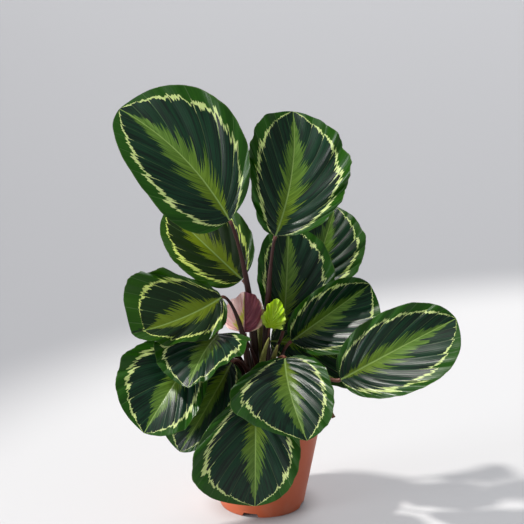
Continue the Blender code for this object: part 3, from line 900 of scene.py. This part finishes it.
def upper_face():
    """The patterned face. Its ring and feather are cut off vein by vein, which makes their edges jagged."""
    material, tree, shader = new_material("calathea_upper_face", 0.36)
    vein, signed, reach = attribute_rule(tree, "vein").parts()
    along, out, number = attribute_rule(tree, "leaf").parts()
    is_right = signed.math("GREATER_THAN", 0)
    across = signed.math("ABSOLUTE")
    painted_backlight, plume, ends = attribute_rule(tree, "marks").parts()
    marked = (along / ends).math("MINIMUM", 1)
    own = number * 3.7 + is_right * 17.3
    streak, ridges = with_veins(tree, vein, across, own)

    def by_vein(count, shift, detail=0):
        return noise_at(tree, vector_of(tree, vein * count, own + shift), 1, detail)

    # The ring wanders about its place, jumps from vein to vein, and runs inwards along the creases.
    pleat = (vein * PLEATS).math("FRACT")
    pointed = (marked * (1 - marked) * 4).math("MAXIMUM", 0.0001) ** (0.14 + marked * 0.2)
    uneven = is_right * 0.02 + (pleat - 0.5) * 0.07 + (by_vein(7, 1) - 0.5) * 0.12
    ring_middle = (RING_PLACE + uneven) * pointed
    jagged = ring_middle + (by_vein(62, 12, 1) - 0.5) * RING_JAGS
    ring_half = 0.004 + by_vein(16, 2) ** 2 * 0.1
    inner = jagged - ring_half + (by_vein(170, 3, 1) - 0.5) * 0.1
    outer = jagged + ring_half + (by_vein(170, 4, 1) - 0.5) * 0.08
    ring = reach.above(inner, 0.014) * (1 - reach.above(outer, 0.014))
    crease = (pleat - 0.5).math("ABSOLUTE").above(0.478, 0.01)
    crease *= reach.above(ring_middle - by_vein(PLEATS, 5) * 0.22, 0.03)
    crease *= 1 - reach.above(ring_middle, 0.01)
    before_end = 1 - along.above(ends * 1.02, 0.02)
    ring = ring.math("MAXIMUM", crease * 0.8) * before_end

    # The feather is widest near the middle of the leaf. Each pleat and each vein ends it at its own length.
    spread = (marked**0.75 * pi).math("SINE").math("MAXIMUM", 0) * FEATHER_REACH
    spikes = 0.55 + (1 - pleat) * 0.3 + (by_vein(PLEATS * 2.2, 6) - 0.5) * 0.6
    spikes += (by_vein(75, 7, 1) - 0.5) * 1.7
    spikes += (by_vein(150, 8, 1) - 0.5) * 1.1
    feather = 1 - reach.above(spread * spikes * plume, 0.025)
    midrib = (1 - out.above(0.35 * MM + (1 - along) * 0.55 * MM, 0.3 * MM)) * before_end
    band = reach.above(outer, 0.02)

    # Each part of the pattern has its own green, and a warmer one painted on the leaves that the sun shines
    # through, as painted backlight.
    shade = noise_at(tree, vector_of(tree, vein * 5, across * 3, own), 1, 2)
    dark = mixed(tree, shade, *DARK_GREEN)
    dark = mixed(tree, streak.above(0.52, 0.24), dark, DARK_STREAK)
    green = mixed(tree, streak, *BAND_GREEN)
    light = mixed(tree, streak.above(0.5, 0.5), *FEATHER_GREEN)
    near_base = mixed(tree, streak.above(0.5, 0.5), *FEATHER_FOOT)
    light = mixed(tree, along.above(0.3, 0.7), near_base, light)
    pale = mixed(tree, streak, *RING_CREAM)
    line = (pleat - 0.5).math("ABSOLUTE").above(0.48, 0.012) * by_vein(PLEATS, 9).above(0.5, 0.2)
    # Painted backlight: the warmer greens on the leaves that the sun shines through.
    dark = mixed(tree, painted_backlight, dark, PAINTED_BACKLIT_DARK)
    green = mixed(tree, painted_backlight * 0.7, green, PAINTED_BACKLIT_BAND)
    light = mixed(tree, painted_backlight * 0.85, light, PAINTED_BACKLIT_FEATHER)
    pale = mixed(tree, painted_backlight * 0.5, pale, PAINTED_BACKLIT_RING)
    color = mixed(tree, band, dark, green)
    color = mixed(tree, line * 0.5, color, CREASE_LINE)
    color = mixed(tree, feather, color, light)
    color = mixed(tree, ring, color, pale)
    color = mixed(tree, midrib, color, MIDRIB_GREEN)
    rim = reach.above(0.985, 0.02)
    color = mixed(tree, rim * 0.5, color, LEAF_RIM)
    dress(tree, shader, color, 0.24 + streak * 0.14, bumped(tree, ridges, 0.12 * MM, 0.6))
    shader.inputs["Specular IOR Level"].default_value = 0.34
    let_light_through(tree, shader, mixed(tree, 1, color, LEAF_GLOW, "MULTIPLY"), LIGHT_THROUGH)
    return material


def under_face():
    """The maroon underside, browner at its edge and greener along the midrib."""
    material, tree, shader = new_material("calathea_maroon_underside", 0.5)
    vein, signed, reach = attribute_rule(tree, "vein").parts()
    _, _, number = attribute_rule(tree, "leaf").parts()
    across = signed.math("ABSOLUTE")
    streak, ridges = with_veins(tree, vein, across, number)
    color = mixed(tree, streak, *MAROON_UNDERSIDE)
    color = mixed(tree, reach.above(0.9, 0.2) * 0.5, color, UNDERSIDE_EDGE)
    color = mixed(tree, (1 - across.above(0.03, 0.06)) * 0.6, color, UNDERSIDE_MIDDLE)
    dress(tree, shader, color, 0.42 + streak * 0.16, bumped(tree, ridges, 0.15 * MM, 0.7))
    let_light_through(tree, shader, UNDERSIDE_GLOW, LIGHT_THROUGH)
    return material


def rib_skin():
    material, tree, shader = new_material("midrib_skin", 0.45)
    cloud = noise_at(tree, object_place(tree), 120, 3)
    feed(tree, mixed(tree, cloud, *RIB_COLORS), shader.inputs["Base Color"])
    feed(tree, 0.38 + cloud * 0.2, shader.inputs["Roughness"])
    return material


def new_grid(steps_along, steps_across):
    """A flat sheet, two across and one along, for a blade's tree to bend."""
    shape = bmesh.new()
    bmesh.ops.create_grid(shape, x_segments=2 * steps_across, y_segments=steps_along, size=0.5)
    for vert in shape.verts:
        vert.co.x *= 2
    return shape


def make_blade(name, leaf, number, tree, materials):
    """One leaf's blade, bent by the tree from the leaf's own sizes."""
    worker = new_worker(f"{name}_worker", new_grid(STEPS_ALONG, STEPS_ACROSS))
    values = {key: leaf[key] for key in BLADE_SHARES if key != "number"}
    values["number"] = number
    values.update({key: leaf[key] * MM for key in BLADE_LENGTHS})
    values.update({key: radians(leaf[key]) for key in BLADE_ANGLES})
    values = {key: float(value) for key, value in values.items()}
    values["base"] = POT_AXIS + Vector(leaf["base"]) * MM
    values["tip"] = POT_AXIS + Vector(leaf["tip"]) * MM
    values["faces"] = Vector(leaf["faces"])
    add_tree(worker, tree, **values, **materials)
    finished(worker, f"leaf_{name}", f"blade_{name}")


blade_rule = blade_tree()
grown_finish = dict(upper=upper_face(), under=under_face(), rib=rib_skin())
for number, (letter, given) in enumerate(GROWN_LEAVES.items()):
    make_blade(letter, {**USUAL_LEAF, **given}, number, blade_rule, grown_finish)


# The stalks. Each leaf stands on a round maroon petiole that rises from the root clump through the soil,
# thick and almost black at its foot, bends over, and ends in a short swollen joint under the blade.
ROOT_DEPTH = 14 * MM
NECK_HEIGHT = 4 * MM
STRAIGHT_SHARE = 0.08
STALK_RINGS = 90
STALK_SIDES = 20
FOOT_SWELL = 1.5
UNEVENNESS = 0.16
JOINT_LENGTH = 14 * MM
JOINT_SWELL = 0.16
JOINT_GAP = 0.6 * MM
MIDDLE_SHARE = 0.9
TOP_SHARE = 0.88
ARRIVAL_SHARE = 0.04
STEM_VECTORS = ("neck", "first handle", "last handle", "end")
STEM_FLOATS = ("foot radius", "middle radius", "tip radius", "joint swell", "number")


def stem_tree():
    """A round stem on a bent middle line, thicker at its foot, with a swollen joint at its end."""
    inputs = [("nothing", "NodeSocketGeometry", None)]
    inputs += [(name, "NodeSocketVector", None) for name in STEM_VECTORS]
    inputs += [(name, "NodeSocketFloat", None) for name in STEM_FLOATS]
    inputs += [("skin", "NodeSocketMaterial", None)]
    tree, stem, sink = new_tree("GeometryNodeTree", "stem", inputs, [("stem", "NodeSocketGeometry")])
    place = add_node(tree, "GeometryNodeInputPosition")
    share = place.parts()[0]
    # It stands straight in the soil, and above it follows a curve with a handle at each end.
    bend = ((share - STRAIGHT_SHARE) / (1 - STRAIGHT_SHARE)).math("MAXIMUM", 0)
    rest = 1 - bend
    spot = stem["neck"].vector("SCALE", rest**3).moved(stem["first handle"], rest**2 * bend * 3)
    spot = spot.moved(stem["last handle"], rest * bend**2 * 3).moved(stem["end"], bend**3)
    buried = (1 - share / STRAIGHT_SHARE).math("MAXIMUM", 0) * -(ROOT_DEPTH + NECK_HEIGHT)
    spot = spot.vector("ADD", vector_of(tree, 0.0, 0.0, buried))

    # Its radius goes from foot to middle to tip, swells towards the joint and is a little uneven.
    passed = 1 - rest ** (2 / 3)
    low = 1 - (passed * 2).math("MINIMUM", 1)
    high = (passed * 2 - 1).math("MAXIMUM", 0)
    radius = stem["middle radius"] + (stem["foot radius"] * FOOT_SWELL - stem["middle radius"]) * low
    radius += (stem["tip radius"] - stem["middle radius"]) * high
    from_end = (1 - share) * stem["end"].vector("DISTANCE", stem["neck"], "Value") / JOINT_LENGTH
    joint = (1 - from_end.math("MINIMUM", 1)) ** 0.5
    radius *= 1 + joint * stem["joint swell"]
    uneven = noise_at(tree, vector_of(tree, share * 14, stem["number"] * 3), 1, 2) - 0.5
    radius *= 1 + uneven * UNEVENNESS
    marks = vector_of(tree, share, joint, stem["number"])
    line = stored(tree, unit_line(tree, STALK_RINGS), "stem", marks)
    rod = rod_along(tree, line, spot, radius, STALK_SIDES)
    smooth = add_node(tree, "GeometryNodeSetShadeSmooth", Geometry=rod)
    feed(tree, realized(tree, smooth, stem["skin"]), sink.inputs[0])
    return tree


def stem_skin(name, foot, middle, joint, roughness):
    """A skin with fine lengthwise streaks, which goes from the foot's colour to the joint's."""
    material, tree, shader = new_material(name, roughness)
    share, swell, number = attribute_rule(tree, "stem").parts()
    place = object_place(tree)
    x, y, z = place.parts()
    streak = noise_at(tree, vector_of(tree, x * 900, y * 900, z * 60 + number), 1, 3)
    cloud = noise_at(tree, place, 70, 3)
    height = share + (cloud - 0.5) * 0.2
    dim, bright = middle
    color = mixed(tree, streak, dim, bright)
    color = mixed(tree, (1 - height.above(0.3, 0.22)) * 0.7, color, foot)
    color = mixed(tree, swell * 0.75, color, joint)
    normal = bumped(tree, streak, 0.15 * MM, 0.6)
    dress(tree, shader, color, roughness - 0.08 + streak * 0.16, normal)
    shader.inputs["Specular IOR Level"].default_value = 0.3
    return material


def make_stem(name, root, end, arrival, reach, rise, radii, swell, number, skin, slot, node):
    """A stem that stands straight in the soil at its root and arrives at its end in a direction."""
    x, y = root[0] * MM, root[1] * MM
    neck = Vector((x, y, soil_height(x, y) + NECK_HEIGHT))
    values = {
        "neck": neck,
        "first_handle": neck + Vector((0, 0, (end - neck).length * rise)),
        "last_handle": end - arrival.normalized() * reach * MM,
        "end": end,
    }
    values = {key: POT_AXIS + place for key, place in values.items()}
    for key, radius in zip(("foot_radius", "middle_radius", "tip_radius"), radii):
        values[key] = float(radius * MM)
    worker = new_worker(f"{name}_worker", bmesh.new())
    add_tree(worker, stem_rule, **values, joint_swell=float(swell), number=float(number), skin=skin)
    finished(worker, name, node)


def petiole_end(leaf):
    """Where a leaf's petiole meets its blade, and the direction it arrives in, the midrib's own there."""
    base = Vector(leaf["base"]) * MM
    chord = Vector(leaf["tip"]) * MM - base
    forward = chord.normalized()
    faces = Vector(leaf["faces"])
    up = (faces - forward * faces.dot(forward)).normalized()
    if leaf["arrival"]:
        return base + up * (leaf["stalk_top"] * MM + JOINT_GAP), Vector(leaf["arrival"])
    hump = ARRIVAL_SHARE * (1 - ARRIVAL_SHARE) * 4
    arrival = chord * ARRIVAL_SHARE + (up * leaf["arch"] + forward.cross(up) * leaf["bow"]) * MM * hump
    arrival.normalize()
    return base - up * RIB_RADIUS - arrival * JOINT_GAP, arrival


stem_rule = stem_tree()
MAROON_SKIN = stem_skin(
    "petiole_maroon",
    foot=(0.02, 0.013, 0.006),
    middle=((0.012, 0.005, 0.003), (0.06, 0.013, 0.009)),
    joint=(0.2, 0.075, 0.05),
    roughness=0.42,
)


def make_petiole(name, leaf, number):
    end, arrival = petiole_end(leaf)
    radii = (leaf["stalk_foot"], leaf["stalk_top"] * MIDDLE_SHARE, leaf["stalk_top"] * TOP_SHARE)
    make_stem(
        name=f"stalk_{name}",
        root=leaf["root"],
        end=end,
        arrival=arrival,
        reach=leaf["reach"],
        rise=leaf["rise"],
        radii=radii,
        swell=JOINT_SWELL,
        number=number,
        skin=MAROON_SKIN,
        slot="stalk_maroon",
        node=f"petiole_{name}",
    )


for number, (letter, given) in enumerate(GROWN_LEAVES.items()):
    make_petiole(letter, {**USUAL_LEAF, **given}, number)


# Two young leaves stand in the middle of the clump. One is half unrolled with its mauve underside out and
# its cream edge curled, and the other is small, soft and lime green. Both are thin and without a pattern.
YOUNG_VEINS = 26
YOUNG_LEAVES = {
    "young_mauve": dict(
        root=(-3, -5), base=(-17, -8, 190), tip=(-18, -12, 234), faces=(0, 1, 0.1),
        left=22, right=24, fold_left=-12, fold_right=5, roll_left=65, roll_right=40,
        egg_left=0.3, egg_right=0.6, arch=3, wave=4, waves=3, stalk_foot=2.2, stalk_top=1.3,
        pleat=0.6, ragged=0.35,
    ),
    "young_lime": dict(
        root=(3, -5), base=(8, -3, 193), tip=(16, -5, 225), faces=(0, -1, 0.2),
        left=11, right=13, fold_left=20, fold_right=10, egg_left=0.2, egg_right=0.35, arch=2, wave=3,
        waves=4, stalk_foot=2.2, stalk_top=1.2, pleat=0.7, ragged=0.9,
    ),
}


def soft_leaf_face(name, base, streaked, edge, glow, half=None):
    """A young leaf's face with streaks along its veins and a paler edge. Its half on the viewer's left
    takes its own colours where they are given: a ground, a streak and a stroke beside the midrib. On the
    mauve leaf, that half's pink is partly the leaf's own colour and partly painted light of the lit side of
    its fold."""
    material, tree, shader = new_material(name, 0.42)
    vein, signed, reach = attribute_rule(tree, "vein").parts()
    _, _, number = attribute_rule(tree, "leaf").parts()
    across = signed.math("ABSOLUTE")
    streak, ridges = with_veins(tree, vein, across, number, YOUNG_VEINS)
    color = mixed(tree, streak.above(0.56, 0.14), base, streaked)
    color = mixed(tree, reach.above(0.42 + vein * 1.1, 0.2), color, edge)
    # The half's lighter pink is partly the leaf's own colour and partly painted light of the lit side of the
    # fold.
    if half:
        lit_pink_ground, pale_streak, stroke = half
        other = mixed(tree, streak.above(0.5, 0.3), lit_pink_ground, pale_streak)
        beside = across.above(0.12, 0.12) * (1 - across.above(0.4 + (streak - 0.5) * 0.8, 0.08))
        other = mixed(tree, beside * vein.above(0.15, 0.1), other, stroke)
        color = mixed(tree, signed.above(0.02, 0.04), color, other)
    dress(tree, shader, color, 0.34 + streak * 0.16, bumped(tree, ridges, 0.15 * MM, 0.6))
    let_light_through(tree, shader, (*glow, 1), 0.4)
    return material


YOUNG_FINISHES = {
    "young_mauve": (
        "leaf_mauve",
        soft_leaf_face(
            "young_mauve_face",
            base=(0.1, 0.014, 0.045),
            streaked=(0.33, 0.1, 0.14),
            edge=(0.95, 0.8, 0.58),
            glow=(0.8, 0.4, 0.4),
            # The pink half is partly the leaf's own colour and partly painted light on the lit side of the
            # fold.
            half=((0.95, 0.62, 0.57), (1.0, 0.86, 0.78), (0.68, 0.82, 0.06)),
        ),
    ),
    "young_lime": (
        "leaf_lime",
        soft_leaf_face(
            "young_lime_face",
            base=(0.42, 0.68, 0.01),
            streaked=(0.6, 0.8, 0.03),
            edge=(0.6, 0.78, 0.12),
            glow=(0.8, 0.95, 0.03),
        ),
    ),
}
for number, (name, given) in enumerate(YOUNG_LEAVES.items(), len(GROWN_LEAVES)):
    leaf = {**USUAL_LEAF, **given}
    slot, soft = YOUNG_FINISHES[name]
    make_blade(name, leaf, number, blade_rule, dict(upper=soft, under=soft, rib=soft))
    make_petiole(name, leaf, number)


# Olive sheaths of leaves still rolled up stand around the foot of the clump: two tapering spears in front
# and a thick column behind. One old stalk has dried brown and droops to the right.
OLIVE_SKIN = stem_skin(
    "sheath_olive_skin",
    foot=(0.1, 0.045, 0.02),
    middle=((0.1, 0.1, 0.02), (0.24, 0.27, 0.06)),
    joint=(0.3, 0.3, 0.08),
    roughness=0.45,
)
DRY_SKIN = stem_skin(
    "dry_stalk_skin",
    foot=(0.1, 0.04, 0.02),
    middle=((0.09, 0.045, 0.02), (0.3, 0.17, 0.08)),
    joint=(0.2, 0.1, 0.05),
    roughness=0.75,
)
FIRST_SHOOT_NUMBER = 30
SHOOTS = {
    "sheath_1": dict(root=(-1, -13), end=(7, -22, 188), radii=(3.0, 2.6, 0.6), arrival=(0.3, -0.3, 1)),
    "sheath_2": dict(root=(11, -6), end=(16, -24, 181), radii=(3.0, 2.8, 0.6), arrival=(0.3, -0.5, 1)),
    "sheath_3": dict(root=(-2, 13), end=(-2.5, 15, 195), radii=(4.0, 4.2, 3.0), arrival=(-0.1, 0, 1)),
    "dry_stalk": dict(
        root=(14, -20), end=(72, -60, 116), radii=(1.6, 1.2, 2.0), arrival=(0.4, -0.3, -1),
        rise=0.7, skin=DRY_SKIN, slot="dry_brown",
    ),
}
# What a shoot has where its entry above says nothing
USUAL_SHOOT = dict(reach=20, rise=0.5, swell=0, skin=OLIVE_SKIN, slot="sheath_olive")
for number, (name, given) in enumerate(SHOOTS.items(), FIRST_SHOOT_NUMBER):
    shoot = {**USUAL_SHOOT, **given}
    shoot["end"] = Vector(shoot["end"]) * MM
    shoot["arrival"] = Vector(shoot["arrival"])
    make_stem(name=f"{name}_grown", node=name, number=number, **shoot)
